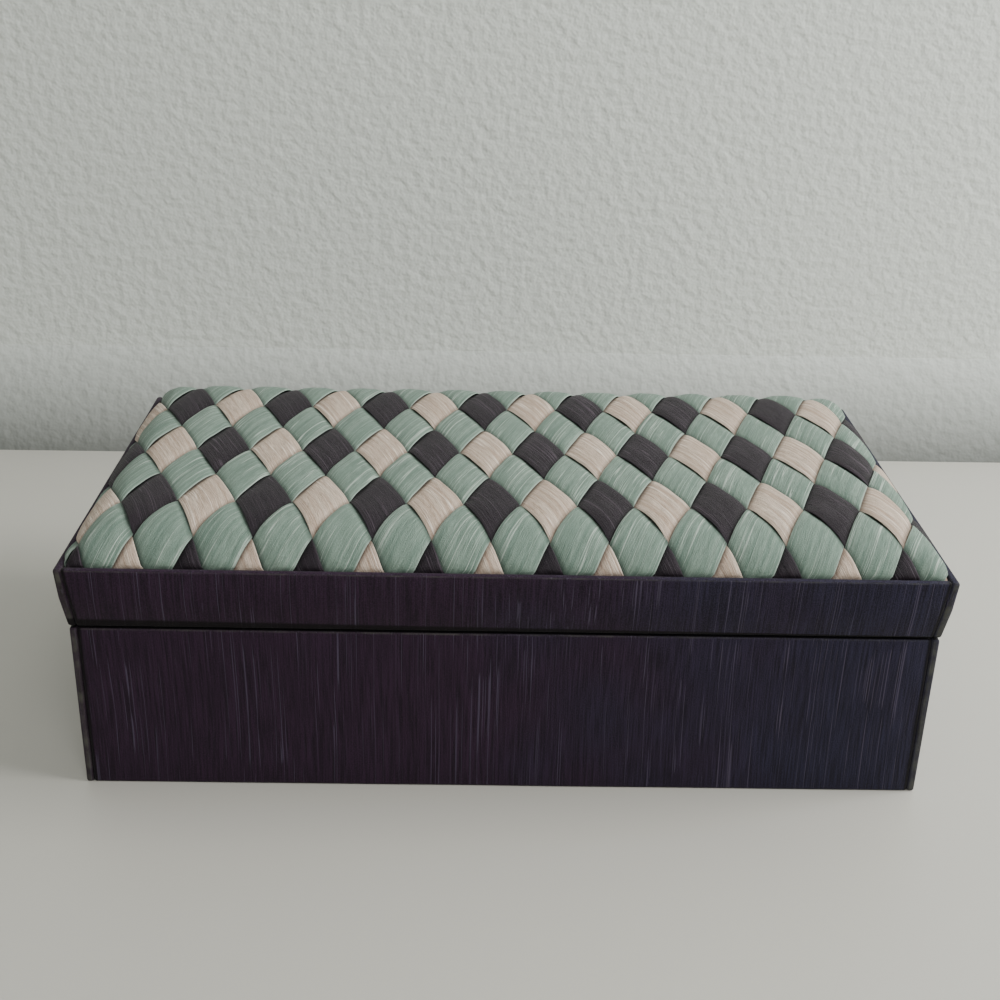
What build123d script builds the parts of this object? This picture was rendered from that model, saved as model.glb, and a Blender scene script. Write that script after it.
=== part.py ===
from build123d import *
import os
from math import hypot

# A cloth-covered keepsake box: a tray of greyboard walls, each wrapped in slubbed silk, and a hinged lid
# whose padded top is woven from silk strips. The origin is the middle of the underside, +X runs along
# the box to its right, -Y faces the viewer and +Z is up. Sizes are in millimetres.

# Overall sizes of the tray and the lid
box_length = 280.0
box_depth = 152.0
seam_height = 59.0
seam_gap = 0.8
rim_height = 81.0
lid_flare = 2.5

# Boards, cards and cloths
board = 1.8
silk = 0.35
card = 1.2
satin = 0.3
turn_in = 6.0
base_sheet = 0.4
overrun = 1.0

# Clearances between glued or seated pieces
glue = 0.05
seat = 0.3
lip_clearance = 0.4

# Locating lip that the lining makes round the tray's mouth
lip_height = 6.0

# Padded floor of the tray
floor_wadding = 2.6
floor_round = 1.6

# Padded panel that the lid frame holds
panel_tuck = 2.5
panel_board = 2.0
pad_crown = 13.4
pad_shoulder = 32.0
pad_power = 3.7
pad_steps = 4
pad_skirt = 2.0

# Woven strips: the rhombus between crossings is strip_step wide and strip_reach deep
strip_step = 18.9
strip_reach = 45.4
strip_shift = -3.7
strip_gap = 1.8
strip_cloth = 0.6
ply_gap = 0.1
strip_rows = 10

# Cloth hinge along the back
hinge_cloth = 0.4
hinge_leaf = 14.0
hinge_inset = 4.0

half_length = box_length / 2
half_depth = box_depth / 2
wall = board + 2 * silk
lining = card + 2 * satin
lid_low = seam_height + seam_gap
os.makedirs("parts", exist_ok=True)


def save(piece, label):
    """Labels a finished piece and writes it as its own file."""
    piece.label = label
    export_step(piece, f"parts/{label}.step")
    return piece


def lean(height):
    """How far the flared lid walls stand out of the tray's outline at a height."""
    return lid_flare * (height - seam_height) / (rim_height - seam_height)


def upright(height):
    """The tray's walls don't lean at any height."""
    return 0 * height


def slab(plan, grow, low, high, slope):
    """A flat piece between two heights. plan is (left, right, front, back) where slope is zero, and
    grow says which way each of those four sides moves as the slope grows."""
    with BuildPart() as flat:
        for height in (low, high):
            left, right, front, back = [side + way * slope(height) for side, way in zip(plan, grow)]
            with BuildSketch(Plane.XY.offset(height)):
                with Locations(((left + right) / 2, (front + back) / 2)):
                    Rectangle(right - left, back - front)
        loft(ruled=True)
    return flat.part


def inset(plan, margin):
    """The same plan, smaller by a margin on all four sides."""
    left, right, front, back = plan
    return (left + margin, right - margin, front + margin, back - margin)


def window_plan(plan, side, cloth, border):
    """The part of a wall's inner face that its cloth leaves bare."""
    left, right, front, back = plan
    if side == "left":
        return (right - cloth, right + overrun, front + border, back - border)
    if side == "right":
        return (left - overrun, left + cloth, front + border, back - border)
    if side == "front":
        return (left + border, right - border, back - cloth, back + overrun)
    return (left + border, right - border, front - overrun, front + cloth)


# Which way the four sides of each wall's plan move as the lid flares out
grow_of = {
    "left": (-1, -1, -1, 1),
    "right": (1, 1, -1, 1),
    "front": (-1, 1, -1, -1),
    "back": (-1, 1, 1, 1),
}


def wall_plans(length, depth, thickness):
    """Four walls inside a rectangle: the end walls run its full depth, the long ones fit between them."""
    x, y = length / 2, depth / 2
    between = x - thickness - glue
    return {
        "left": (-x, thickness - x, -y, y),
        "right": (x - thickness, x, -y, y),
        "front": (-between, between, -y, thickness - y),
        "back": (-between, between, y - thickness, y),
    }


def wrapped_wall(plan, side, low, high, slope, cloth, border):
    """A stiff core and the cloth round it, which turns in over every edge of the inner face."""
    grow = grow_of[side]
    core = slab(inset(plan, cloth), grow, low + cloth, high - cloth, slope)
    bare = slab(window_plan(plan, side, cloth, border), grow, low + border, high - border, slope)
    with BuildPart() as cover:
        add(slab(plan, grow, low, high, slope))
        add(core, mode=Mode.SUBTRACT)
        add(bare, mode=Mode.SUBTRACT)
    return core, cover.part


# Tray walls: greyboard wrapped in slubbed silk
for side, plan in wall_plans(box_length, box_depth, wall).items():
    core, cover = wrapped_wall(plan, side, 0, seam_height, upright, silk, turn_in)
    save(core, f"tray_{side}_board")
    save(cover, f"tray_{side}_silk")

# Tray bottom: a board between the walls, with a paper sheet pasted under it
inner_length = box_length - 2 * wall
inner_depth = box_depth - 2 * wall
base_top = base_sheet + board

with BuildPart() as base_paper:
    with BuildSketch():
        Rectangle(inner_length - 2 * seat, inner_depth - 2 * seat)
    extrude(amount=base_sheet)
save(base_paper.part, "base_paper")

with BuildPart() as base_board:
    with BuildSketch(Plane.XY.offset(base_sheet)):
        Rectangle(inner_length - 2 * glue, inner_depth - 2 * glue)
    extrude(amount=board)
save(base_board.part, "base_board")

# Tray lining: satin-covered cards that stand above the walls as a locating lip
lining_length = inner_length - 2 * lip_clearance
lining_depth = inner_depth - 2 * lip_clearance
lip_top = seam_height + lip_height
for side, plan in wall_plans(lining_length, lining_depth, lining).items():
    core, cover = wrapped_wall(plan, side, base_top, lip_top, upright, satin, turn_in)
    save(core, f"lining_{side}_card")
    save(cover, f"lining_{side}_satin")

# Padded floor of the tray: card, wadding and a satin cover pulled over both
floor_length = lining_length - 2 * lining - 2 * seat
floor_depth = lining_depth - 2 * lining - 2 * seat
floor_top = base_top + card + floor_wadding + satin


def floor_pad(length, depth, low, high, rounding):
    """A flat pad with rounded upper edges."""
    with BuildPart() as pad:
        with BuildSketch(Plane.XY.offset(low)):
            Rectangle(length, depth)
        extrude(amount=high - low)
        fillet(pad.edges().group_by(Axis.Z)[-1], radius=rounding)
    return pad.part


with BuildPart() as floor_card:
    with BuildSketch(Plane.XY.offset(base_top)):
        Rectangle(floor_length - 2 * satin, floor_depth - 2 * satin)
    extrude(amount=card)
save(floor_card.part, "floor_card")

stuffing = floor_pad(
    floor_length - 2 * satin, floor_depth - 2 * satin, base_top + card, floor_top - satin, floor_round - satin
)
save(stuffing, "floor_wadding")

with BuildPart() as floor_satin:
    add(floor_pad(floor_length, floor_depth, base_top, floor_top, floor_round))
    add(floor_card.part, mode=Mode.SUBTRACT)
    add(stuffing, mode=Mode.SUBTRACT)
save(floor_satin.part, "floor_satin")

# Lid frame: four leaning walls wrapped in the same silk
for side, plan in wall_plans(box_length, box_depth, wall).items():
    core, cover = wrapped_wall(plan, side, lid_low, rim_height, lean, silk, turn_in)
    save(core, f"lid_{side}_board")
    save(cover, f"lid_{side}_silk")

# Heights of the layers that the lid frame holds, from the padded panel down to the satin ceiling
panel_top = rim_height - panel_tuck
panel_low = panel_top - panel_board
ceiling_top = panel_low - glue
ceiling_low = ceiling_top - card - satin
lid_lining_low = lip_top + seat
panel_length = inner_length + 2 * lean(panel_low) - 2 * seat
panel_depth = inner_depth + 2 * lean(panel_low) - 2 * seat

# Lid lining: satin-covered cards that rest on the tray's lip when the lid is shut
for side, plan in wall_plans(lining_length, lining_depth, lining).items():
    core, cover = wrapped_wall(plan, side, lid_lining_low, ceiling_low - glue, lean, satin, lining)
    save(core, f"lid_lining_{side}_card")
    save(cover, f"lid_lining_{side}_satin")

with BuildPart() as panel:
    with BuildSketch(Plane.XY.offset(panel_low)):
        Rectangle(panel_length, panel_depth)
    extrude(amount=panel_board)
save(panel.part, "lid_panel_board")

with BuildPart() as ceiling_card:
    with BuildSketch(Plane.XY.offset(ceiling_low + satin)):
        Rectangle(panel_length - 2 * satin, panel_depth - 2 * satin)
    extrude(amount=card)
save(ceiling_card.part, "lid_ceiling_card")

with BuildPart() as ceiling_satin:
    with BuildSketch(Plane.XY.offset(ceiling_low)):
        Rectangle(panel_length, panel_depth)
    extrude(amount=card + satin)
    add(ceiling_card.part, mode=Mode.SUBTRACT)
save(ceiling_satin.part, "lid_ceiling_satin")


# Padded top: each crown is a stack of rectangles that draw in as they rise
def crown(lift):
    """The pad's crown, raised by a lift, on a straight skirt."""
    with BuildPart() as dome:
        with BuildSketch(Plane.XY.offset(panel_top + lift - pad_skirt)):
            Rectangle(panel_length, panel_depth)
        for step in range(pad_steps + 1):
            share = step / pad_steps
            draw_in = pad_shoulder * share**1.5
            height = pad_crown * (1 - (1 - draw_in / pad_shoulder) ** pad_power)
            with BuildSketch(Plane.XY.offset(panel_top + lift + height)):
                Rectangle(panel_length - 2 * draw_in, panel_depth - 2 * draw_in)
        loft(ruled=True)
    return dome.part


with BuildPart() as wadding:
    add(crown(-strip_cloth - ply_gap - seat))
    split(bisect_by=Plane.XY.offset(panel_top), keep=Keep.TOP)
save(wadding.part, "lid_wadding")

# Woven strips: one family runs up to the right, the other down to the right
half_pitch = hypot(strip_step, strip_reach) / 2
strip_width = half_pitch - strip_gap


def lattice(up, down):
    """The plan point at distances along the two strip directions from the middle crossing."""
    across = strip_step * (up + down) / (2 * half_pitch)
    forward = strip_reach * (up - down) / (2 * half_pitch)
    return (strip_shift + across, forward)


def strip_plans(runs_up):
    """The plans of one family's strips, laid side by side right across the panel."""
    plans = {}
    for number in range(-strip_rows, strip_rows + 1):
        reach = strip_rows * half_pitch
        low, high = number * half_pitch - strip_width / 2, number * half_pitch + strip_width / 2
        corners = [(-reach, low), (reach, low), (reach, high), (-reach, high)]
        plans[number] = [lattice(*corner) if runs_up else lattice(*reversed(corner)) for corner in corners]
    return plans


def strip_layer(plans, low_lift, high_lift):
    """A layer of strips that all follow the pad, from its edge up over its crown."""
    with BuildPart() as layer:
        with BuildSketch(Plane.XY.offset(panel_top + glue)):
            for plan in plans:
                Polygon(*plan, align=None)
        extrude(amount=pad_crown + high_lift + overrun)
        add(crown(high_lift), mode=Mode.INTERSECT, clean=False)
        add(crown(low_lift), mode=Mode.SUBTRACT, clean=False)
    return layer.part


# The strips really pass over and under each other. Here the mint ones lie below the crossing ones.
rising = strip_plans(True)
falling = strip_plans(False)
cream = [plan for number, plan in falling.items() if number % 2 == 0]
charcoal = [plan for number, plan in falling.items() if number % 2 == 1]
save(strip_layer(rising.values(), -strip_cloth - ply_gap, -ply_gap), "mint_strips")
save(strip_layer(cream, 0, strip_cloth), "cream_strips")
save(strip_layer(charcoal, 0, strip_cloth), "charcoal_strips")

# Cloth hinge: one strip pasted down the back of the lid and the tray
hinge_height = seam_height + seam_gap / 2
hinge_outer = half_depth + glue
with BuildPart() as cloth_hinge:
    with BuildSketch(Plane.YZ.offset(hinge_inset - half_length)):
        with BuildLine():
            low, high = hinge_height - hinge_leaf, hinge_height + hinge_leaf
            inner = [(hinge_outer, low), (hinge_outer, seam_height), (hinge_outer + lean(high), high)]
            outer = [(y + hinge_cloth, z) for y, z in reversed(inner)]
            Polyline(*inner, *outer, close=True)
        make_face()
    extrude(amount=box_length - 2 * hinge_inset)
save(cloth_hinge.part, "cloth_hinge")
print("height at the crown:", round(panel_top + pad_crown + strip_cloth, 1), "mm")
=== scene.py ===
import math

import bpy
import numpy as np
from mathutils import Matrix, Vector, noise


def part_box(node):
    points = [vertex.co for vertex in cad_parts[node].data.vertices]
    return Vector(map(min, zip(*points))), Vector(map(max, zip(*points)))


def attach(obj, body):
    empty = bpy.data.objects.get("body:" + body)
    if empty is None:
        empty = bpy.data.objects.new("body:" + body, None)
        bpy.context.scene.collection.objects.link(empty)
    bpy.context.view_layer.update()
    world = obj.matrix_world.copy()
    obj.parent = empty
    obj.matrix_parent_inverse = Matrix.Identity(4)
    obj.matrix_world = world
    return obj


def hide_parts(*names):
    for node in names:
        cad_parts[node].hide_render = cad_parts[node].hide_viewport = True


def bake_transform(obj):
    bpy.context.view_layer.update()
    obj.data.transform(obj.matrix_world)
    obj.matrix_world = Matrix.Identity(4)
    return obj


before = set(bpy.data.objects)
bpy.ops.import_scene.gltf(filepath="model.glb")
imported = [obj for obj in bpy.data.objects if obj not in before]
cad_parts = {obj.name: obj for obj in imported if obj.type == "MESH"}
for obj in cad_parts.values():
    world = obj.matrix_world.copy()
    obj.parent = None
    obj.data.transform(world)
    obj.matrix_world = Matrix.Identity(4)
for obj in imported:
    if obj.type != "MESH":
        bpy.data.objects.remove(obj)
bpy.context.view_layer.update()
mm = 0.001


# Camera: held a little left of the box's middle and above it, about as far off as an arm reaches.
# Its place, aim and lens come from the box's own corners in the photograph.
pitch, yaw, roll = math.radians(24.26), math.radians(1.38), math.radians(1.5)
aim = Vector((math.sin(yaw) * math.cos(pitch), math.cos(yaw) * math.cos(pitch), -math.sin(pitch)))
bpy.ops.object.camera_add(location=(-13 * mm, -468 * mm, 283 * mm))
camera = bpy.context.object
camera.name = "camera"
camera.data.sensor_width = 36
camera.data.lens = 50.4
camera.rotation_euler = (aim.to_track_quat("-Z", "Y").to_matrix() @ Matrix.Rotation(roll, 3, "Z")).to_euler()
bpy.context.scene.camera = camera


# Light: a large soft window at the right, a weaker one at the front, and an even, pale room.
# The window leaves the table darker at the left of the box.
def soft_window(name, place, target, size, power):
    """A square area light that faces a place."""
    bpy.ops.object.light_add(type="AREA", location=place)
    lamp = bpy.context.object
    lamp.name = name
    lamp.data.size = size
    lamp.data.energy = power
    lamp.rotation_euler = (Vector(target) - Vector(place)).to_track_quat("-Z", "Y").to_euler()


lit_place = (0, 0, 0.05)
soft_window("window_right", (0.9, -0.1, 0.75), lit_place, size=0.6, power=16)
soft_window("window_front", (0.1, -1.0, 1.1), lit_place, size=0.7, power=8)


def colour(code):
    """Turns an sRGB hex value into the linear colour that a shader takes."""
    shares = [int(code[place:place + 2], 16) / 255 for place in (0, 2, 4)]
    return [share / 12.92 if share <= 0.04045 else ((share + 0.055) / 1.055) ** 2.4 for share in shares] + [1]


# The room: pale walls all round, which light every side a little
world = bpy.data.worlds.new("pale_room")
world.use_nodes = True
world.node_tree.nodes["Background"].inputs["Color"].default_value = colour("e6e6e2")
world.node_tree.nodes["Background"].inputs["Strength"].default_value = 0.38
bpy.context.scene.world = world


# Table and wall: a pale painted shelf with a plain pale wall behind it, as in the photograph.
# The wall can't be seen from behind, so that it hides nothing in the other views. Its foot is where the
# photograph has it, and it leans back above that, to stay clear of the open lid.
def add(tree, kind, inputs={}, **settings):
    """Adds a node, with its settings, and its inputs' values or the sockets that feed them."""
    made = tree.nodes.new(kind)
    for name, value in settings.items():
        setattr(made, name, value)
    for name, value in inputs.items():
        if isinstance(value, bpy.types.NodeSocket):
            tree.links.new(value, made.inputs[name])
        else:
            made.inputs[name].default_value = value
    return made


def new_finish(name, **sockets):
    """A material with only a principled shader, whose sockets take the values given."""
    made = bpy.data.materials.new(name)
    made.use_nodes = True
    tree = made.node_tree
    tree.nodes.clear()
    skin = add(tree, "ShaderNodeBsdfPrincipled")
    for socket, value in sockets.items():
        skin.inputs[socket.replace("_", " ")].default_value = value
    tree.links.new(skin.outputs[0], add(tree, "ShaderNodeOutputMaterial").inputs["Surface"])
    return made, tree, skin


room_size = 4
bpy.ops.object.select_all(action="DESELECT")
bpy.ops.mesh.primitive_plane_add(size=room_size, location=(0, 0, 0))
table = bpy.context.object
table.name = "table"
# Satin white paint: a broad, blurred sheen under the window
satin_paint = new_finish("satin_white_paint", Base_Color=colour("bdbbb2"), Roughness=0.45)[0]
table.data.materials.append(satin_paint)

# How far back the wall's foot lies, how much further it leans back and by which height, and its turn
wall_foot, wall_setback, lean_height, wall_turn = 216 * mm, 24 * mm, 50 * mm, math.radians(0.6)
bpy.ops.object.select_all(action="DESELECT")
bpy.ops.mesh.primitive_plane_add(
    size=room_size, location=(0, wall_foot + wall_setback, 0), rotation=(math.radians(90), 0, wall_turn),
)
backdrop = bpy.context.object
backdrop.name = "backdrop"
bpy.ops.object.mode_set(mode="EDIT")
for cut_height, trim in ((0, True), (lean_height, False)):
    bpy.ops.mesh.select_all(action="SELECT")
    bpy.ops.mesh.bisect(plane_co=(0, 0, cut_height), plane_no=(0, 0, 1), clear_inner=trim)
bpy.ops.object.mode_set(mode="OBJECT")
for vertex in backdrop.data.vertices:
    if vertex.co.y < lean_height / 2:
        vertex.co.z = wall_setback
# Rolled wall paint: matt, with the roller's stipple some 5 mm across
plaster, plaster_tree, plaster_skin = new_finish("rolled_wall_paint", Roughness=0.7)
wall_place = add(plaster_tree, "ShaderNodeTexCoord").outputs["Object"]
# The wall is darker close to the shelf, where less of the window's light comes. The leaning part faces the
# light more, so it is painted darker right from its top, and the bend doesn't show
up_wall = add(plaster_tree, "ShaderNodeSeparateXYZ", {0: wall_place}).outputs["Y"]
gloom = add(plaster_tree, "ShaderNodeMath", {
    0: add(plaster_tree, "ShaderNodeMapRange", {
        "Value": up_wall, "From Min": 0, "From Max": lean_height, "To Min": 1, "To Max": 0.22,
    }).outputs[0],
    1: add(plaster_tree, "ShaderNodeMath", {0: up_wall, 1: lean_height}, operation="LESS_THAN").outputs[0],
}, operation="MULTIPLY")
wall_mix = add(plaster_tree, "ShaderNodeMix", {
    0: gloom.outputs[0], 6: colour("d9ded7"), 7: colour("70736e"),
}, data_type="RGBA")
plaster_tree.links.new(wall_mix.outputs[2], plaster_skin.inputs["Base Color"])
stipple = add(plaster_tree, "ShaderNodeTexNoise", {"Vector": wall_place, "Scale": 190, "Detail": 2})
plaster_tree.links.new(add(plaster_tree, "ShaderNodeBump", {
    "Height": stipple.outputs["Fac"], "Distance": 1.6 * mm, "Strength": 0.75,
}).outputs[0], plaster_skin.inputs["Normal"])
unseen = add(plaster_tree, "ShaderNodeBsdfTransparent")
one_sided = add(plaster_tree, "ShaderNodeMixShader", {
    0: add(plaster_tree, "ShaderNodeNewGeometry").outputs["Backfacing"],
    1: plaster_skin.outputs[0],
    2: unseen.outputs[0],
})
plaster_tree.links.new(one_sided.outputs[0], plaster_tree.nodes["Material Output"].inputs["Surface"])
backdrop.data.materials.append(plaster)


# Tray walls: greyboard wrapped in dark slubbed silk, which turns in over every edge of the inner face.
# The end walls run the whole depth, so their front edges show as narrow bands at the corners. The silk
# is a hand-reeled dupion: its uneven weft runs upright here, with fine lighter slubs along it.
def slubbed_silk(name, left, right, shade, slub, worn):
    """Dupion silk with its thick threads upright, redder at the box's left and bluer at its right."""
    made, tree, skin = new_finish(
        name, Roughness=0.7, Specular_IOR_Level=0.15, Sheen_Weight=0.04, Sheen_Roughness=0.5,
    )
    # Places from before the panel leans and swells, so that the threads stay upright in its face
    place = add(tree, "ShaderNodeAttribute", attribute_name="upright").outputs["Vector"]
    # The threads wander sideways by a few millimetres over the length of a panel
    wander = add(tree, "ShaderNodeTexNoise", {"Vector": place, "Scale": 11, "Detail": 1})
    wandering = add(tree, "ShaderNodeVectorMath", {
        0: wander.outputs["Color"], 1: (4 * mm, 4 * mm, 0), 2: place,
    }, operation="MULTIPLY_ADD").outputs[0]
    # Fine threads 0.5 mm apart, coarser than the real 0.3 mm, so that they show. The slubs are single thick
    # threads, the peaks of a noise 0.4 mm across, and they fade in and out over some 70 mm
    fine, peaks, fading = (add(tree, "ShaderNodeTexNoise", {
        "Vector": add(tree, "ShaderNodeMapping", {"Vector": wandering, "Scale": scale}).outputs[0],
        "Scale": 1, "Detail": detail,
    }).outputs["Fac"] for scale, detail in (
        ((2000, 2000, 70), 2), ((2500, 2500, 2), 0), ((420, 420, 14), 1),
    ))
    slubs = add(tree, "ShaderNodeMath", {
        0: add(tree, "ShaderNodeMapRange", {
            "Value": peaks, "From Min": 0.66, "From Max": 0.71, "To Min": 0, "To Max": 1,
        }).outputs[0],
        1: add(tree, "ShaderNodeMapRange", {
            "Value": fading, "From Min": 0.42, "From Max": 0.6, "To Min": 0.05, "To Max": 0.6,
        }).outputs[0],
    }, operation="MULTIPLY")
    spot = add(tree, "ShaderNodeSeparateXYZ", {0: place})
    # Shot silk: its two thread colours show by turns, in patches some 40 mm wide
    patches = add(tree, "ShaderNodeTexNoise", {"Vector": place, "Scale": 26, "Detail": 1})
    shifted = add(tree, "ShaderNodeMath", {
        0: patches.outputs["Fac"], 1: 170 * mm, 2: spot.outputs["X"],
    }, operation="MULTIPLY_ADD")
    side = add(tree, "ShaderNodeMapRange", {
        "Value": shifted.outputs[0], "From Min": 50 * mm, "From Max": 230 * mm, "To Min": 0, "To Max": 1,
    }, interpolation_type="SMOOTHSTEP")
    ground = add(tree, "ShaderNodeMix", {
        0: side.outputs[0], 6: colour(left), 7: colour(right),
    }, data_type="RGBA")
    # The plain weave itself: a grain 0.4 mm across, coarser than the real one, so that it shows
    grain = add(tree, "ShaderNodeTexNoise", {"Vector": place, "Scale": 2500, "Detail": 1})
    mottle = add(tree, "ShaderNodeMath", {
        0: grain.outputs["Fac"], 1: 0.9, 2: fine,
    }, operation="MULTIPLY_ADD")
    depth = add(tree, "ShaderNodeMapRange", {
        "Value": mottle.outputs[0], "From Min": 0.74, "From Max": 1.16, "To Min": 0.8, "To Max": 0,
    })
    threads = add(tree, "ShaderNodeMix", {
        0: depth.outputs[0], 6: ground.outputs[2], 7: colour(shade),
    }, data_type="RGBA")
    slubbed = add(tree, "ShaderNodeMix", {
        0: slubs.outputs[0], 6: threads.outputs[2], 7: colour(slub),
    }, data_type="RGBA")
    # The folded edges have worn paler and greener, in patches
    rub = add(tree, "ShaderNodeTexNoise", {"Vector": place, "Scale": 160, "Detail": 3})
    rubbed = add(tree, "ShaderNodeMath", {
        0: add(tree, "ShaderNodeAttribute", attribute_name="edge").outputs["Fac"],
        1: add(tree, "ShaderNodeMapRange", {
            "Value": rub.outputs["Fac"], "From Min": 0.45, "From Max": 0.68, "To Min": 0.12, "To Max": 0.45,
        }).outputs[0],
    }, operation="MULTIPLY")
    finished = add(tree, "ShaderNodeMix", {
        0: rubbed.outputs[0], 6: slubbed.outputs[2], 7: colour(worn),
    }, data_type="RGBA")
    # A dark line of painted shadow runs along the seam, standing for the shade in the gap, wider at the left,
    # where the lid stands a little off the tray
    above_seam = add(tree, "ShaderNodeMath", {0: spot.outputs["Z"], 1: 58.9 * mm}, operation="SUBTRACT")
    line_width = add(tree, "ShaderNodeMapRange", {
        "Value": spot.outputs["X"],
        "From Min": -140 * mm, "From Max": 140 * mm, "To Min": 4.3 * mm, "To Max": 1.7 * mm,
    })
    up_line = add(tree, "ShaderNodeMath", {
        0: above_seam.outputs[0], 1: line_width.outputs[0],
    }, operation="DIVIDE")
    seam_painted_shadow = add(tree, "ShaderNodeMath", {
        0: add(tree, "ShaderNodeMapRange", {
            "Value": up_line.outputs[0], "From Min": 0.8, "From Max": 1, "To Min": 0.92, "To Max": 0,
        }).outputs[0],
        1: add(tree, "ShaderNodeMath", {0: up_line.outputs[0], 1: 0}, operation="GREATER_THAN").outputs[0],
    }, operation="MULTIPLY")
    # Little light reaches the groove where a long wall meets the end wall that covers it
    groove_gloom = add(tree, "ShaderNodeMapRange", {
        "Value": add(tree, "ShaderNodeAttribute", attribute_name="groove").outputs["Fac"],
        "From Min": 0.93, "From Max": 0.99, "To Min": 0, "To Max": 0.9,
    })
    unlit = add(tree, "ShaderNodeMath", {
        0: seam_painted_shadow.outputs[0], 1: groove_gloom.outputs[0],
    }, operation="MAXIMUM")
    # Painted shade: the silk turns near-black along the seam and in the groove
    lined = add(tree, "ShaderNodeMix", {
        0: unlit.outputs[0], 6: finished.outputs[2], 7: colour("050305"),
    }, data_type="RGBA")
    tree.links.new(lined.outputs[2], skin.inputs["Base Color"])
    relief = add(tree, "ShaderNodeMath", {
        0: slubs.outputs[0], 1: 1.5, 2: mottle.outputs[0],
    }, operation="MULTIPLY_ADD")
    bump = add(tree, "ShaderNodeBump", {"Height": relief.outputs[0], "Distance": 0.2 * mm, "Strength": 0.8})
    tree.links.new(bump.outputs[0], skin.inputs["Normal"])
    return made


# Plum-black and midnight blue dupion: it looks matt, with fine upright lines that catch the light
dark_silk = slubbed_silk(
    "plum_dupion_silk", left="332134", right="2b2a3e", shade="120d14", slub="554d60", worn="54554c",
)

# Greyboard: pulped waste paper, mid grey and speckled, unglazed
greyboard, board_tree, board_skin = new_finish("greyboard", Roughness=0.85)
specks = add(board_tree, "ShaderNodeTexNoise", {
    "Vector": add(board_tree, "ShaderNodeTexCoord").outputs["Object"], "Scale": 900, "Detail": 4,
})
board_mix = add(board_tree, "ShaderNodeMix", {
    0: specks.outputs["Fac"], 6: colour("8f8a80"), 7: colour("aaa498"),
}, data_type="RGBA")
board_tree.links.new(board_mix.outputs[2], board_skin.inputs["Base Color"])
board_tree.links.new(add(board_tree, "ShaderNodeBump", {
    "Height": specks.outputs["Fac"], "Distance": 0.1 * mm, "Strength": 0.5,
}).outputs[0], board_skin.inputs["Normal"])


def finish_node(node, made):
    """Gives a CAD piece that shows as it is its material."""
    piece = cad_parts[node]
    piece.data.materials.clear()
    piece.data.materials.append(made)


def slice_up(low, high, step):
    """Cuts the open piece into cells, so that it can bend and its cloth can lie unevenly."""
    bpy.ops.object.mode_set(mode="EDIT")
    for axis in range(3):
        cuts = round((high[axis] - low[axis]) / step)
        for cut in range(1, cuts):
            place = Vector(low)
            place[axis] += (high[axis] - low[axis]) * cut / cuts
            bpy.ops.mesh.select_all(action="SELECT")
            bpy.ops.mesh.bisect(plane_co=place, plane_no=Vector([axis == way for way in range(3)]))
    bpy.ops.object.mode_set(mode="OBJECT")


def use_modifier(kind, **settings):
    """Adds a modifier to the active piece and applies it."""
    made = bpy.context.object.modifiers.new(kind.lower(), kind)
    for name, value in settings.items():
        setattr(made, name, value)
    bpy.ops.object.modifier_apply(modifier=made.name)


def block(name, low, high, step):
    """A plain block between two corners, cut into cells."""
    bpy.ops.object.select_all(action="DESELECT")
    bpy.ops.mesh.primitive_cube_add(size=1, location=(low + high) / 2, scale=high - low)
    bpy.ops.object.transform_apply(location=True, rotation=True, scale=True)
    piece = bpy.context.object
    piece.name = name
    slice_up(low, high, step)
    return piece


def keep_upright(piece):
    """Notes each point's place, for the silk's threads to follow when the piece leans or bends."""
    places = np.zeros(len(piece.data.vertices) * 3, np.float32)
    piece.data.vertices.foreach_get("co", places)
    piece.data.attributes.new("upright", "FLOAT_VECTOR", "POINT").data.foreach_set("vector", places)


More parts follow.
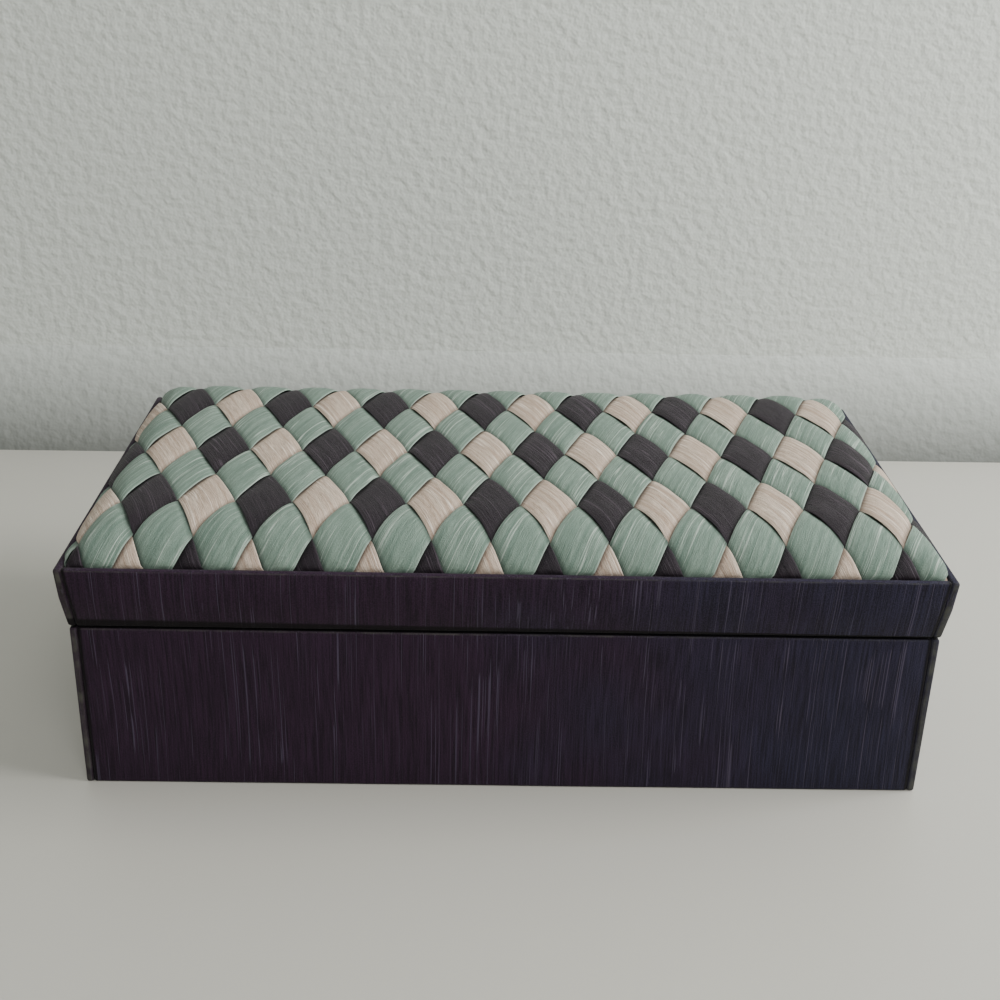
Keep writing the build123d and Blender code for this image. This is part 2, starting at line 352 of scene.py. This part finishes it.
def wrapped_panel(name, node, side, edge, border, uneven, flare=0, bow=0, bare_outside=False):
    """A flat core wrapped in cloth: a slab with soft edges, and a bare window in the face that is glued.

    The slab leans outward by its flare and bows a little, and the cloth on it lies uneven.
    """
    low, high = (Vector(corner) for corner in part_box(node))
    thin, long = (0, 1) if side in ("left", "right") else (1, 0)
    outward = -1 if side in ("left", "front") else 1
    lean = flare * (high.z - low.z)
    foot_low, foot_high = low.copy(), high.copy()
    foot_low[long] += lean
    foot_high[long] -= lean
    if outward < 0:
        foot_low[thin] += lean
    else:
        foot_high[thin] -= lean
    panel = block(name, foot_low, foot_high, step=10 * mm)
    use_modifier("BEVEL", width=edge, segments=3, limit_method="ANGLE")
    # The cloth turns in over the glued face as a border, and the core lies bare and deeper inside it
    border_step, cloth_depth = 0.1 * mm, 0.3 * mm
    glued = outward if bare_outside else -outward
    bpy.context.tool_settings.mesh_select_mode = (False, False, True)
    for kind in (panel.data.vertices, panel.data.edges, panel.data.polygons):
        kind.foreach_set("select", np.zeros(len(kind), bool))
    for face in panel.data.polygons:
        face.select = face.normal[thin] * glued > 0.99
    bpy.ops.object.mode_set(mode="EDIT")
    bpy.ops.mesh.inset(thickness=border)
    bpy.ops.mesh.inset(thickness=border_step, depth=-cloth_depth)
    bpy.ops.object.mode_set(mode="OBJECT")
    # The cloth is cut straight, so its threads stay upright where the panel widens towards the top
    for vertex in panel.data.vertices:
        vertex.co[long] *= 1 + lean * (vertex.co.z - low.z) / (high.z - low.z) / foot_high[long]
    keep_upright(panel)
    middle = abs(foot_low[thin] + foot_high[thin]) / 2
    # Wear starts where the normal has turned a little from its face, and is full a turn further on. Places
    # closer than a hair to an end count as on it
    facing, turning, end_wear, hair = 0.985, 0.15, 1.8, 0.05 * mm
    worn, groove = [], []
    for vertex in panel.data.vertices:
        # A point whose normal turns away from every face lies on a folded edge
        edge_wear = (facing - max(abs(part) for part in vertex.normal)) / turning
        share = (vertex.co.z - low.z) / (high.z - low.z)
        from_end = foot_high[long] + lean * share - abs(vertex.co[long])
        # The narrow end faces of the end walls show at the front, and are rubbed all over
        rubbed_end = thin == 0 and from_end < hair
        worn.append(end_wear if rubbed_end else min(1, max(0, edge_wear)))
        # The long walls' ends, where the end walls cover them, are marked for painted shade in the groove
        groove.append(float(thin == 1 and from_end < edge + hair))
        swell = bow * math.sin(math.pi * share) if vertex.co[thin] * outward > middle else 0
        vertex.co[thin] += outward * (lean * share + swell)
        vertex.co[thin] += uneven * noise.noise(vertex.co * 28)
    for kind, values in (("edge", worn), ("groove", groove)):
        panel.data.attributes.new(kind, "FLOAT", "POINT").data.foreach_set("value", values)
    bpy.ops.object.shade_smooth_by_angle(angle=math.radians(50))
    return panel


for side in ("left", "right", "front", "back"):
    tray_wall = wrapped_panel(
        f"tray_{side}", f"tray_{side}_silk", side, edge=0.8 * mm, border=6 * mm, uneven=0.12 * mm,
    )
    tray_wall.data.materials.append(dark_silk)
    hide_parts(f"tray_{side}_silk")
    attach(tray_wall, "tray")
    finish_node(f"tray_{side}_board", greyboard)


# Tray bottom: a greyboard between the walls, with dark sugar paper pasted under it.
# The paper is matt and a little fibrous. It shows only from below.
finish_node("base_board", greyboard)
paper, paper_tree, paper_skin = new_finish("dark_sugar_paper", Roughness=0.9)
fibres = add(paper_tree, "ShaderNodeTexNoise", {
    "Vector": add(paper_tree, "ShaderNodeTexCoord").outputs["Object"],
    "Scale": 700, "Detail": 5, "Distortion": 0.6,
})
paper_mix = add(paper_tree, "ShaderNodeMix", {
    0: fibres.outputs["Fac"], 6: colour("1d1a20"), 7: colour("3a3640"),
}, data_type="RGBA")
paper_tree.links.new(paper_mix.outputs[2], paper_skin.inputs["Base Color"])
paper_tree.links.new(add(paper_tree, "ShaderNodeBump", {
    "Height": fibres.outputs["Fac"], "Distance": 0.1 * mm, "Strength": 0.5,
}).outputs[0], paper_skin.inputs["Normal"])
finish_node("base_paper", paper)


# Tray lining: cards covered in plain satin, glued inside the walls. They stand above the walls as a lip
# that the lid drops over. The inside doesn't show in the photograph, so its grey-green is a guess.
def satin(name, light, shade):
    """Warp-faced satin: smooth and fairly glossy, with very fine upright ribs and faint creases."""
    made, tree, skin = new_finish(name, Roughness=0.38, Sheen_Weight=0.3, Sheen_Roughness=0.3)
    place = add(tree, "ShaderNodeTexCoord").outputs["Object"]
    # Ribs 0.5 mm apart, coarser than the real 0.1 mm, so that they show
    ribs = add(tree, "ShaderNodeTexNoise", {
        "Vector": add(tree, "ShaderNodeMapping", {"Vector": place, "Scale": (2200, 2200, 120)}).outputs[0],
        "Scale": 1, "Detail": 1,
    })
    creases = add(tree, "ShaderNodeTexNoise", {"Vector": place, "Scale": 38, "Detail": 3, "Distortion": 0.8})
    tone = add(tree, "ShaderNodeMath", {
        0: ribs.outputs["Fac"], 1: 0.5, 2: creases.outputs["Fac"],
    }, operation="MULTIPLY_ADD")
    # Painted highlight and shade: the satin is lighter and darker along its creases, finely streaked by its
    # ribs
    mixed = add(tree, "ShaderNodeMix", {
        0: add(tree, "ShaderNodeMapRange", {
            "Value": tone.outputs[0], "From Min": 0.5, "From Max": 1, "To Min": 0, "To Max": 1,
        }).outputs[0], 6: colour(shade), 7: colour(light),
    }, data_type="RGBA")
    tree.links.new(mixed.outputs[2], skin.inputs["Base Color"])
    relief = add(tree, "ShaderNodeMath", {
        0: creases.outputs["Fac"], 1: 6, 2: ribs.outputs["Fac"],
    }, operation="MULTIPLY_ADD")
    bump = add(tree, "ShaderNodeBump", {"Height": relief.outputs[0], "Distance": 0.1 * mm, "Strength": 0.7})
    tree.links.new(bump.outputs[0], skin.inputs["Normal"])
    return made


# Grey-mint polyester satin: soft painted highlights that change with the creases
lining_satin = satin("grey_mint_satin", light="a9bcb2", shade="8ba397")
for side in ("left", "right", "front", "back"):
    lining = wrapped_panel(
        f"lining_{side}", f"lining_{side}_satin", side, edge=0.5 * mm, border=6 * mm, uneven=0.08 * mm,
        bare_outside=True,
    )
    lining.data.materials.append(lining_satin)
    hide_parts(f"lining_{side}_satin")
    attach(lining, "tray")
    finish_node(f"lining_{side}_card", greyboard)


# Tray floor: a card with cotton wadding on it and satin pulled over both, dropped in on the bottom board.
# The satin draws the wadding down at the edges, so the pad is a low cushion.
finish_node("floor_card", greyboard)
floor_low, floor_high = (Vector(corner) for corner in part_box("floor_satin"))
floor_pad = block("floor_pad", floor_low, floor_high, step=7 * mm)
use_modifier("SUBSURF", levels=1, render_levels=1, subdivision_type="SIMPLE")
floor_height, dimple_depth = floor_high.z - floor_low.z, 0.35 * mm
# Shares of its height: how high the cushion stands at its edges, and how much more in the middle
edge_fill, middle_fill = 0.72, 0.36
# From this share of its height up, the cushion's sides are drawn in
draw_from, draw_reach, at_side = 0.3, 1.4 * mm, 0.995
for vertex in floor_pad.data.vertices:
    across, deep = vertex.co.x / floor_high.x, vertex.co.y / floor_high.y
    fullness = (1 - abs(across) ** 14) * (1 - abs(deep) ** 9)
    share = (vertex.co.z - floor_low.z) / floor_height
    dimple = noise.noise(vertex.co * 30) * dimple_depth * fullness
    vertex.co.z = floor_low.z + share * (floor_height * (edge_fill + middle_fill * fullness) + dimple)
    draw_in = draw_reach * max(0, share - draw_from)
    vertex.co.x -= draw_in * (abs(across) > at_side) * (1 if across > 0 else -1)
    vertex.co.y -= draw_in * (abs(deep) > at_side) * (1 if deep > 0 else -1)
use_modifier("BEVEL", width=0.7 * mm, segments=2, limit_method="ANGLE")
bpy.ops.object.shade_smooth_by_angle(angle=math.radians(60))
floor_pad.data.materials.append(lining_satin)
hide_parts("floor_satin", "floor_wadding")
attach(floor_pad, "tray")


# Lid walls: the same wrapped greyboard, cut taller than the panel that they hold. They lean out towards
# the top by about 2.5 mm in 22, and the end walls cover the ends of the long ones.
lid_flare = 2.5 / 22
for side in ("left", "right", "front", "back"):
    lid_wall = wrapped_panel(
        f"lid_{side}", f"lid_{side}_silk", side, edge=0.8 * mm, border=5.5 * mm, uneven=0.12 * mm,
        flare=lid_flare, bow=0.6 * mm,
    )
    lid_wall.data.materials.append(dark_silk)
    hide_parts(f"lid_{side}_silk")
    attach(lid_wall, "lid")
    finish_node(f"lid_{side}_board", greyboard)


# Lid lining: narrow cards covered in the same satin and glued inside the lid walls. When the lid closes,
# they come to rest on the tray's lip. They don't show in the photograph, so they are a guess.
for side in ("left", "right", "front", "back"):
    lid_lining = wrapped_panel(
        f"lid_lining_{side}", f"lid_lining_{side}_satin", side, edge=0.5 * mm, border=1.4 * mm,
        uneven=0.05 * mm, flare=lid_flare, bare_outside=True,
    )
    lid_lining.data.materials.append(lining_satin)
    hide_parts(f"lid_lining_{side}_satin")
    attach(lid_lining, "lid")
    finish_node(f"lid_lining_{side}_card", greyboard)


# Lid ceiling: a satin-covered card glued under the panel board. It swells a little towards the middle,
# because the satin is only held at the card's edges.
finish_node("lid_ceiling_card", greyboard)
finish_node("lid_panel_board", greyboard)
ceiling_low, ceiling_high = (Vector(corner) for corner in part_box("lid_ceiling_satin"))
ceiling = block("lid_ceiling", ceiling_low, ceiling_high, step=12 * mm)
use_modifier("SUBSURF", levels=1, render_levels=1, subdivision_type="SIMPLE")
slack = 0.35 * mm
for vertex in ceiling.data.vertices:
    share = (ceiling_high.z - vertex.co.z) / (ceiling_high.z - ceiling_low.z)
    edge_share = max(abs(vertex.co.x) / ceiling_high.x, abs(vertex.co.y) / ceiling_high.y)
    vertex.co.z -= share * slack * (1 - edge_share ** 6) * (1 + noise.noise(vertex.co * 25))
use_modifier("BEVEL", width=0.4 * mm, segments=2, limit_method="ANGLE")
bpy.ops.object.shade_smooth_by_angle(angle=math.radians(60))
ceiling.data.materials.append(lining_satin)
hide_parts("lid_ceiling_satin")
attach(ceiling, "lid")


# Wadding of the padded top: cotton built up on the panel board under a dark muslin cover, flat over the
# middle and rounded steeply down to the board's edges. The muslin shows only between the strips, and its
# near-black colour is painted shade for the gaps there.

# The pad starts on a low upright skirt. Above it the crown rises over the width of the shoulder
pad_skirt, pad_crown, pad_shoulder, pad_power = 2.2 * mm, 9.9 * mm, 32 * mm, 4.6
corner_sharpness = 3
panel_low, panel_high = (Vector(corner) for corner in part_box("lid_panel_board"))
pad_reach = Vector((panel_high.x + 0.5 * mm, panel_high.y + 0.1 * mm))


def pad_profile(inset):
    """The share of the crown's height that the pad has reached at a distance in from an edge."""
    return 1 - (1 - np.clip(inset / pad_shoulder, 0, 1)) ** pad_power


def pad_height(x, y):
    """How high the pad stands above its board. Two slopes that meet in a corner are rounded together."""
    from_end = np.maximum(pad_profile(pad_reach.x - np.abs(x)), 0.001)
    from_front = np.maximum(pad_profile(pad_reach.y - np.abs(y)), 0.001)
    joined = from_end ** -corner_sharpness + from_front ** -corner_sharpness - 1
    return pad_skirt + pad_crown * joined ** (-1 / corner_sharpness)


# The wadding stays clear of the strips: in from the board's edges, and below the pad's own surface
wadding_inset, strip_room, least_height, blank_height = 2 * mm, 2.2 * mm, 0.2 * mm, 5 * mm
wadding_corner = Vector((panel_high.x - wadding_inset, panel_high.y - wadding_inset, panel_high.z))
wadding = block(
    "pad_wadding", Vector((-wadding_corner.x, -wadding_corner.y, panel_high.z)),
    wadding_corner + Vector((0, 0, blank_height)), step=4 * mm,
)
for vertex in wadding.data.vertices:
    if vertex.co.z > panel_high.z + blank_height / 2:
        height = float(pad_height(vertex.co.x, vertex.co.y)) - strip_room
        vertex.co.z = panel_high.z + max(least_height, height)
bpy.ops.object.shade_smooth_by_angle(angle=math.radians(70))
# Muslin in painted shade: matt and nearly black, with a faint mottle, standing for the shadow between the
# strips. Its yarns are drawn 0.7 mm wide, coarser than the real 0.4 mm, so that they show
muslin, muslin_tree, muslin_skin = new_finish("muslin_in_painted_shade", Roughness=0.9)
yarns = add(muslin_tree, "ShaderNodeTexNoise", {
    "Vector": add(muslin_tree, "ShaderNodeTexCoord").outputs["Object"], "Scale": 1500, "Detail": 2,
})
muslin_mix = add(muslin_tree, "ShaderNodeMix", {
    0: yarns.outputs["Fac"], 6: colour("1c1a1c"), 7: colour("38343a"),
}, data_type="RGBA")
muslin_tree.links.new(muslin_mix.outputs[2], muslin_skin.inputs["Base Color"])
wadding.data.materials.append(muslin)
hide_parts("lid_wadding")
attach(wadding, "lid")


# Woven strips: straight-cut silk strips, folded double and drawn tight over the wadding in a plain weave.
# Mint ones rise to the right, cream and charcoal ones fall to the right by turns, and all of them
# tuck down behind the lid walls. Distances along them follow the pad's curve, as the real strips do.

# The crossings' steps across and in depth, and how far they lie to the left, measured in the photograph
cross_step, cross_reach, cross_shift = 18.87 * mm, 44.85 * mm, -7.1 * mm
pitch_between = math.hypot(cross_step, cross_reach) / 2
lane_pitch = cross_step * cross_reach / (2 * pitch_between)
strip_width, strip_thick = 17.1 * mm, 0.8 * mm
# How far a strip rides up and down at the crossings, how far its sides drop where it lies on top, how high
# it sits on the pad, and how far it rumples and sways
ride_over, edge_drop, sit, rumple, side_sway = 1.5 * mm, 0.5 * mm, 0.1 * mm, 0.3 * mm, 0.2 * mm
# The rows of crossings lean left towards the front, and wander as hand weaving does
row_start, row_lean = -0.67 * mm, -0.74 * mm
row_drift = ((-1.8, -1, 0, 1, 1.8), (-0.6, 1, 0, -0.5, -0.5))


def walk_over_pad(walked, reach):
    """Turns distances walked over the pad from its middle into places, and drops past its edge."""
    inset = np.linspace(reach, 0, 500)
    height = pad_crown * pad_profile(inset)
    path = np.concatenate([[0], np.cumsum(np.hypot(np.diff(inset), np.diff(height)))])
    place = np.interp(np.abs(walked), path, reach - inset)
    return np.sign(walked) * place, np.maximum(np.abs(walked) - path[-1], 0)


def on_pad(x_walked, y_walked, lift):
    """The points that lie a lift above the pad at distances walked over it."""
    x, x_drop = walk_over_pad(x_walked, pad_reach.x)
    y, y_drop = walk_over_pad(y_walked, pad_reach.y)
    small = 0.2 * mm
    slope_x = (pad_height(x + small, y) - pad_height(x - small, y)) / (2 * small)
    slope_y = (pad_height(x, y + small) - pad_height(x, y - small)) / (2 * small)
    length = np.sqrt(slope_x ** 2 + slope_y ** 2 + 1)
    # At the pad's corners the strips are pulled down behind the rim
    corner_pull, corner_range = 2 * mm, 6 * mm
    corner_gap = np.hypot(pad_reach.x - np.abs(x), pad_reach.y - np.abs(y))
    pull_down = corner_pull * (1 - np.clip(corner_gap / corner_range, 0, 1))
    z = panel_high.z + pad_height(x, y) - x_drop - y_drop + lift / length - pull_down
    # Behind the lid walls the strips are pressed flat, and from the rim up they swell out a little
    pressed_room, swell_room, near_rim = 0.35 * mm, 2 * mm, 80.6 * mm
    spare = pressed_room + np.clip(z - near_rim, 0, swell_room)
    return np.stack([
        np.clip(x - lift * slope_x / length, -panel_high.x - spare, panel_high.x + spare),
        np.clip(y - lift * slope_y / length, -panel_high.y - spare, panel_high.y + spare),
        z,
    ], axis=-1)


def woven_strip(lane, rising):
    """One strip as a flattened tube. Places along and across it are in steps of the weave."""
    # Walked over the pad, the strips reach further than the flat panel below them
    further_x, further_y, row_step = 14 * mm, 10 * mm, 1.7 * mm
    half_x = (panel_high.x + further_x) * 2 / cross_step
    half_y = (panel_high.y + further_y) * 2 / cross_reach
    middle = -cross_shift * 2 / cross_step
    # One step more at each end, because the ends are cut square and the folded sides reach further
    start = max(lane - half_y, middle - half_x - lane) - 1
    stop = min(lane + half_y, middle + half_x - lane) + 1
    shortest = 2.1
    if stop - start < shortest:
        return
    rows = int((stop - start) * pitch_between / row_step)
    # The tube's section: flat above and below, rounded at the sides, with more faces on top
    top_faces, under_faces = 16, 8
    turn = np.radians(np.concatenate([
        np.linspace(-90, 90, top_faces + 1), np.linspace(90, 270, under_faces + 1)[1:],
    ]))
    across_share = np.sin(turn)
    thickness = strip_thick / 2 * np.sign(np.cos(turn)) * np.abs(np.cos(turn)) ** 0.5
    along, around = np.meshgrid(np.linspace(start, stop, rows), np.arange(len(turn)), indexing="ij")
    share = across_share[around]
    over = np.cos(math.pi * (along + lane + (1 if rising else 0)))
    steepness = 1.5
    lift = sit + ride_over * np.tanh(steepness * over) / math.tanh(steepness)
    lift = lift - edge_drop * np.abs(share) ** 3 * (0.5 + 0.5 * over) + thickness[around]
    lift += rumple * np.array([
        noise.noise((place * 2.6, lane * 5.1 + wide * 1.3, 9 * rising))
        for place, wide in zip(along.flat, share.flat)
    ]).reshape(lift.shape)
    sway = np.array([noise.noise((place * 0.9, lane * 7.3, 3 * rising)) for place in along[:, 0]])
    across = lane + (share * strip_width / 2 + side_sway * sway[:, None]) / lane_pitch
    up, down = (along, across) if rising else (across, along)
    row = (up - down) / 2
    drift = np.interp(row, row_drift[0], row_drift[1]) * mm + row_lean * row
    points = on_pad(cross_shift + cross_step / 2 * (up + down) + drift, row_start + cross_reach * row, lift)
    bpy.ops.object.select_all(action="DESELECT")
    bpy.ops.mesh.primitive_grid_add(x_subdivisions=len(turn) - 1, y_subdivisions=rows - 1, size=1)
    strip = bpy.context.object
    mesh = strip.data
    mesh.vertices.foreach_set("co", points.astype(np.float32).ravel())
    for kind, values in (("fold", np.abs(share)), ("over", over)):
        values = values.astype(np.float32).ravel()
        mesh.attributes.new(kind, "FLOAT", "POINT").data.foreach_set("value", values)
    corner = np.zeros(len(mesh.loops), int)
    mesh.loops.foreach_get("vertex_index", corner)
    # Places on the silk in metres. Each strip is cut from another part of it
    next_across, next_along = 0.7, 0.31
    cloth = np.stack([
        share * strip_width / 2 + lane * next_across, along * pitch_between + lane * next_along,
    ], axis=-1)
    mesh.uv_layers[0].name = "cloth"
    mesh.uv_layers["cloth"].data.foreach_set("uv", cloth.reshape(-1, 2)[corner].astype(np.float32).ravel())
    # The tube's lengthwise seam is closed, its ends are trimmed level and closed
    trim_height = panel_high.z + 0.1 * mm
    bpy.ops.object.mode_set(mode="EDIT")
    bpy.ops.mesh.select_all(action="SELECT")
    bpy.ops.mesh.remove_doubles(threshold=0.005 * mm)
    bpy.ops.mesh.select_all(action="SELECT")
    bpy.ops.mesh.bisect(plane_co=(0, 0, trim_height), plane_no=(0, 0, 1), clear_inner=True)
    bpy.ops.mesh.select_all(action="SELECT")
    bpy.ops.mesh.fill_holes(sides=0)
    bpy.ops.mesh.select_all(action="SELECT")
    bpy.ops.mesh.normals_make_consistent(inside=False)
    bpy.ops.object.mode_set(mode="OBJECT")
    return strip


def woven_family(name, lanes, rising):
    """The strips of one colour as one piece, closed and trimmed level behind the lid walls."""
    strips = [strip for strip in (woven_strip(lane, rising) for lane in lanes) if strip]
    bpy.ops.object.select_all(action="DESELECT")
    for strip in strips:
        strip.select_set(True)
    bpy.context.view_layer.objects.active = strips[0]
    bpy.ops.object.join()
    family = bpy.context.object
    family.name = name
    bpy.ops.object.shade_smooth_by_angle(angle=math.radians(60))
    return family


def strip_silk(name, ground, light, shade, thread, fold, dip_shade):
    """Silk with its slubs along the strip: broad soft streaks, fine threads and pale single ones."""
    made, tree, skin = new_finish(
        name, Roughness=0.6, Specular_IOR_Level=0.18, Sheen_Weight=0.04, Sheen_Roughness=0.5,
    )
    # Streaks 1.4 mm wide, threads 0.2 mm apart, and pale threads some 2 mm apart. The weft is drawn 0.4 mm
    # apart, coarser than the real 0.2 mm, so that it shows
    place = add(tree, "ShaderNodeUVMap", uv_map="cloth").outputs[0]
    streaks, threads, lines, weft = (add(tree, "ShaderNodeTexNoise", {
        "Vector": add(tree, "ShaderNodeMapping", {"Vector": place, "Scale": scale}).outputs[0],
        "Scale": 1, "Detail": detail,
    }).outputs["Fac"] for scale, detail in (
        ((730, 30, 1), 2), ((5900, 240, 1), 2), ((560, 6, 1), 1), ((3400, 2600, 1), 0),
    ))
    tone = add(tree, "ShaderNodeMapRange", {
        "Value": streaks, "From Min": 0.36, "From Max": 0.66, "To Min": 0, "To Max": 1,
    })
    body = add(tree, "ShaderNodeMix", {
        0: tone.outputs[0], 6: colour(ground), 7: colour(light),
    }, data_type="RGBA")
    dark = add(tree, "ShaderNodeMapRange", {
        "Value": threads, "From Min": 0.36, "From Max": 0.6, "To Min": 0.45, "To Max": 0,
    })
    shaded = add(tree, "ShaderNodeMix", {
        0: dark.outputs[0], 6: body.outputs[2], 7: colour(shade),
    }, data_type="RGBA")
    # A pale thread lies wherever its noise crosses one level, so it runs on as a thin line
    off_line = add(tree, "ShaderNodeMath", {0: lines, 1: 0.52}, operation="SUBTRACT")
    pale = add(tree, "ShaderNodeMapRange", {
        "Value": add(tree, "ShaderNodeMath", {0: off_line.outputs[0]}, operation="ABSOLUTE").outputs[0],
        "From Min": 0, "From Max": 0.016, "To Min": 0.75, "To Max": 0,
    })
    lined = add(tree, "ShaderNodeMix", {
        0: pale.outputs[0], 6: shaded.outputs[2], 7: colour(thread),
    }, data_type="RGBA")
    # The fold along each side is pressed hard and catches the light as a thin line, drawn as a painted
    # highlight
    fold_highlight = add(tree, "ShaderNodeMapRange", {
        "Value": add(tree, "ShaderNodeAttribute", attribute_name="fold").outputs["Fac"],
        "From Min": 0.94, "From Max": 0.985, "To Min": 0, "To Max": 0.6,
    })
    finished = add(tree, "ShaderNodeMix", {
        0: fold_highlight.outputs[0], 6: lined.outputs[2], 7: colour(fold),
    }, data_type="RGBA")
    # Where a strip dips under the next one, little light reaches it, so painted shade darkens it there
    dip = add(tree, "ShaderNodeMapRange", {
        "Value": add(tree, "ShaderNodeAttribute", attribute_name="over").outputs["Fac"],
        "From Min": 0, "From Max": 0.3, "To Min": 0.75, "To Max": 0,
    })
    dip_shaded = add(tree, "ShaderNodeMix", {
        0: dip.outputs[0], 6: finished.outputs[2], 7: colour(dip_shade),
    }, data_type="RGBA")
    tree.links.new(dip_shaded.outputs[2], skin.inputs["Base Color"])
    ridges = add(tree, "ShaderNodeMath", {0: threads, 1: 1.5, 2: streaks}, operation="MULTIPLY_ADD")
    relief = add(tree, "ShaderNodeMath", {
        0: pale.outputs[0], 1: 0.6, 2: ridges.outputs[0],
    }, operation="MULTIPLY_ADD")
    woven = add(tree, "ShaderNodeMath", {0: weft, 1: 0.9, 2: relief.outputs[0]}, operation="MULTIPLY_ADD")
    bump = add(tree, "ShaderNodeBump", {"Height": woven.outputs[0], "Distance": 0.26 * mm, "Strength": 0.9})
    tree.links.new(bump.outputs[0], skin.inputs["Normal"])
    return made


# Mint, cream and charcoal dupion, cut from thinner cloth than the walls': softer, with a low sheen. The
# colours are the ground, its light streaks, its shade, the pale threads, the painted highlight on the folds
# and the painted shade where a strip dips under
mint = strip_silk("mint_strip_silk", "6d8376", "889c8e", "4a5e52", "c2cec2", "a5b4a8", "38453d")
cream = strip_silk("cream_strip_silk", "b9a28f", "d8c7b5", "806c5c", "f6ebdd", "dccdbd", "5c4d42")
charcoal = strip_silk("charcoal_strip_silk", "1f181f", "2c242b", "0c090c", "564b55", "3c343b", "080608")
# The strips' lanes are counted from the middle. The last value is the length in metres of all the strips of
# a colour laid end to end
for name, slot, lanes, rising, silk, length in (
    ("mint_strips", "mint_silk", range(-10, 11), True, mint, 2.72),
    ("cream_strips", "cream_silk", range(-10, 10, 2), False, cream, 1.36),
    ("charcoal_strips", "charcoal_silk", range(-9, 10, 2), False, charcoal, 1.36),
):
    family = woven_family(f"woven_{name}", lanes, rising)
    family.data.materials.append(silk)
    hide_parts(name)
    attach(family, "lid")


# Cloth hinge: a strip of the same dark silk pasted down the back of the lid and the tray, over the seam. On
# the box it folds along the seam when the lid opens; here it is shaped as it lies with the lid shut. The back
# doesn't show in the photograph, so it is a guess.
hinge_low, hinge_high = (Vector(corner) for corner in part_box("cloth_hinge"))
seam, tray_rim = 59.4 * mm, 59 * mm
hinge_cloth = 0.4 * mm
leaf_low, leaf_high = hinge_low.copy(), hinge_high.copy()
leaf_high.y = leaf_low.y + hinge_cloth
hinge = block("cloth_hinge_strip", leaf_low, leaf_high, step=10 * mm)
# Narrow rows of faces, 0.6 mm high, lie along the fold, so that it bends round
fold_rows = np.arange(-2.1, 2.2, 0.6) * mm
bpy.ops.object.mode_set(mode="EDIT")
for height in fold_rows:
    bpy.ops.mesh.select_all(action="SELECT")
    bpy.ops.mesh.bisect(plane_co=(0, 0, seam + height), plane_no=(0, 0, 1))
bpy.ops.object.mode_set(mode="OBJECT")
keep_upright(hinge)
for vertex in hinge.data.vertices:
    vertex.co.y += lid_flare * max(0, vertex.co.z - tray_rim)
bpy.ops.object.shade_smooth_by_angle(angle=math.radians(50))
hinge.data.materials.append(dark_silk)
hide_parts("cloth_hinge")
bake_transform(hinge)
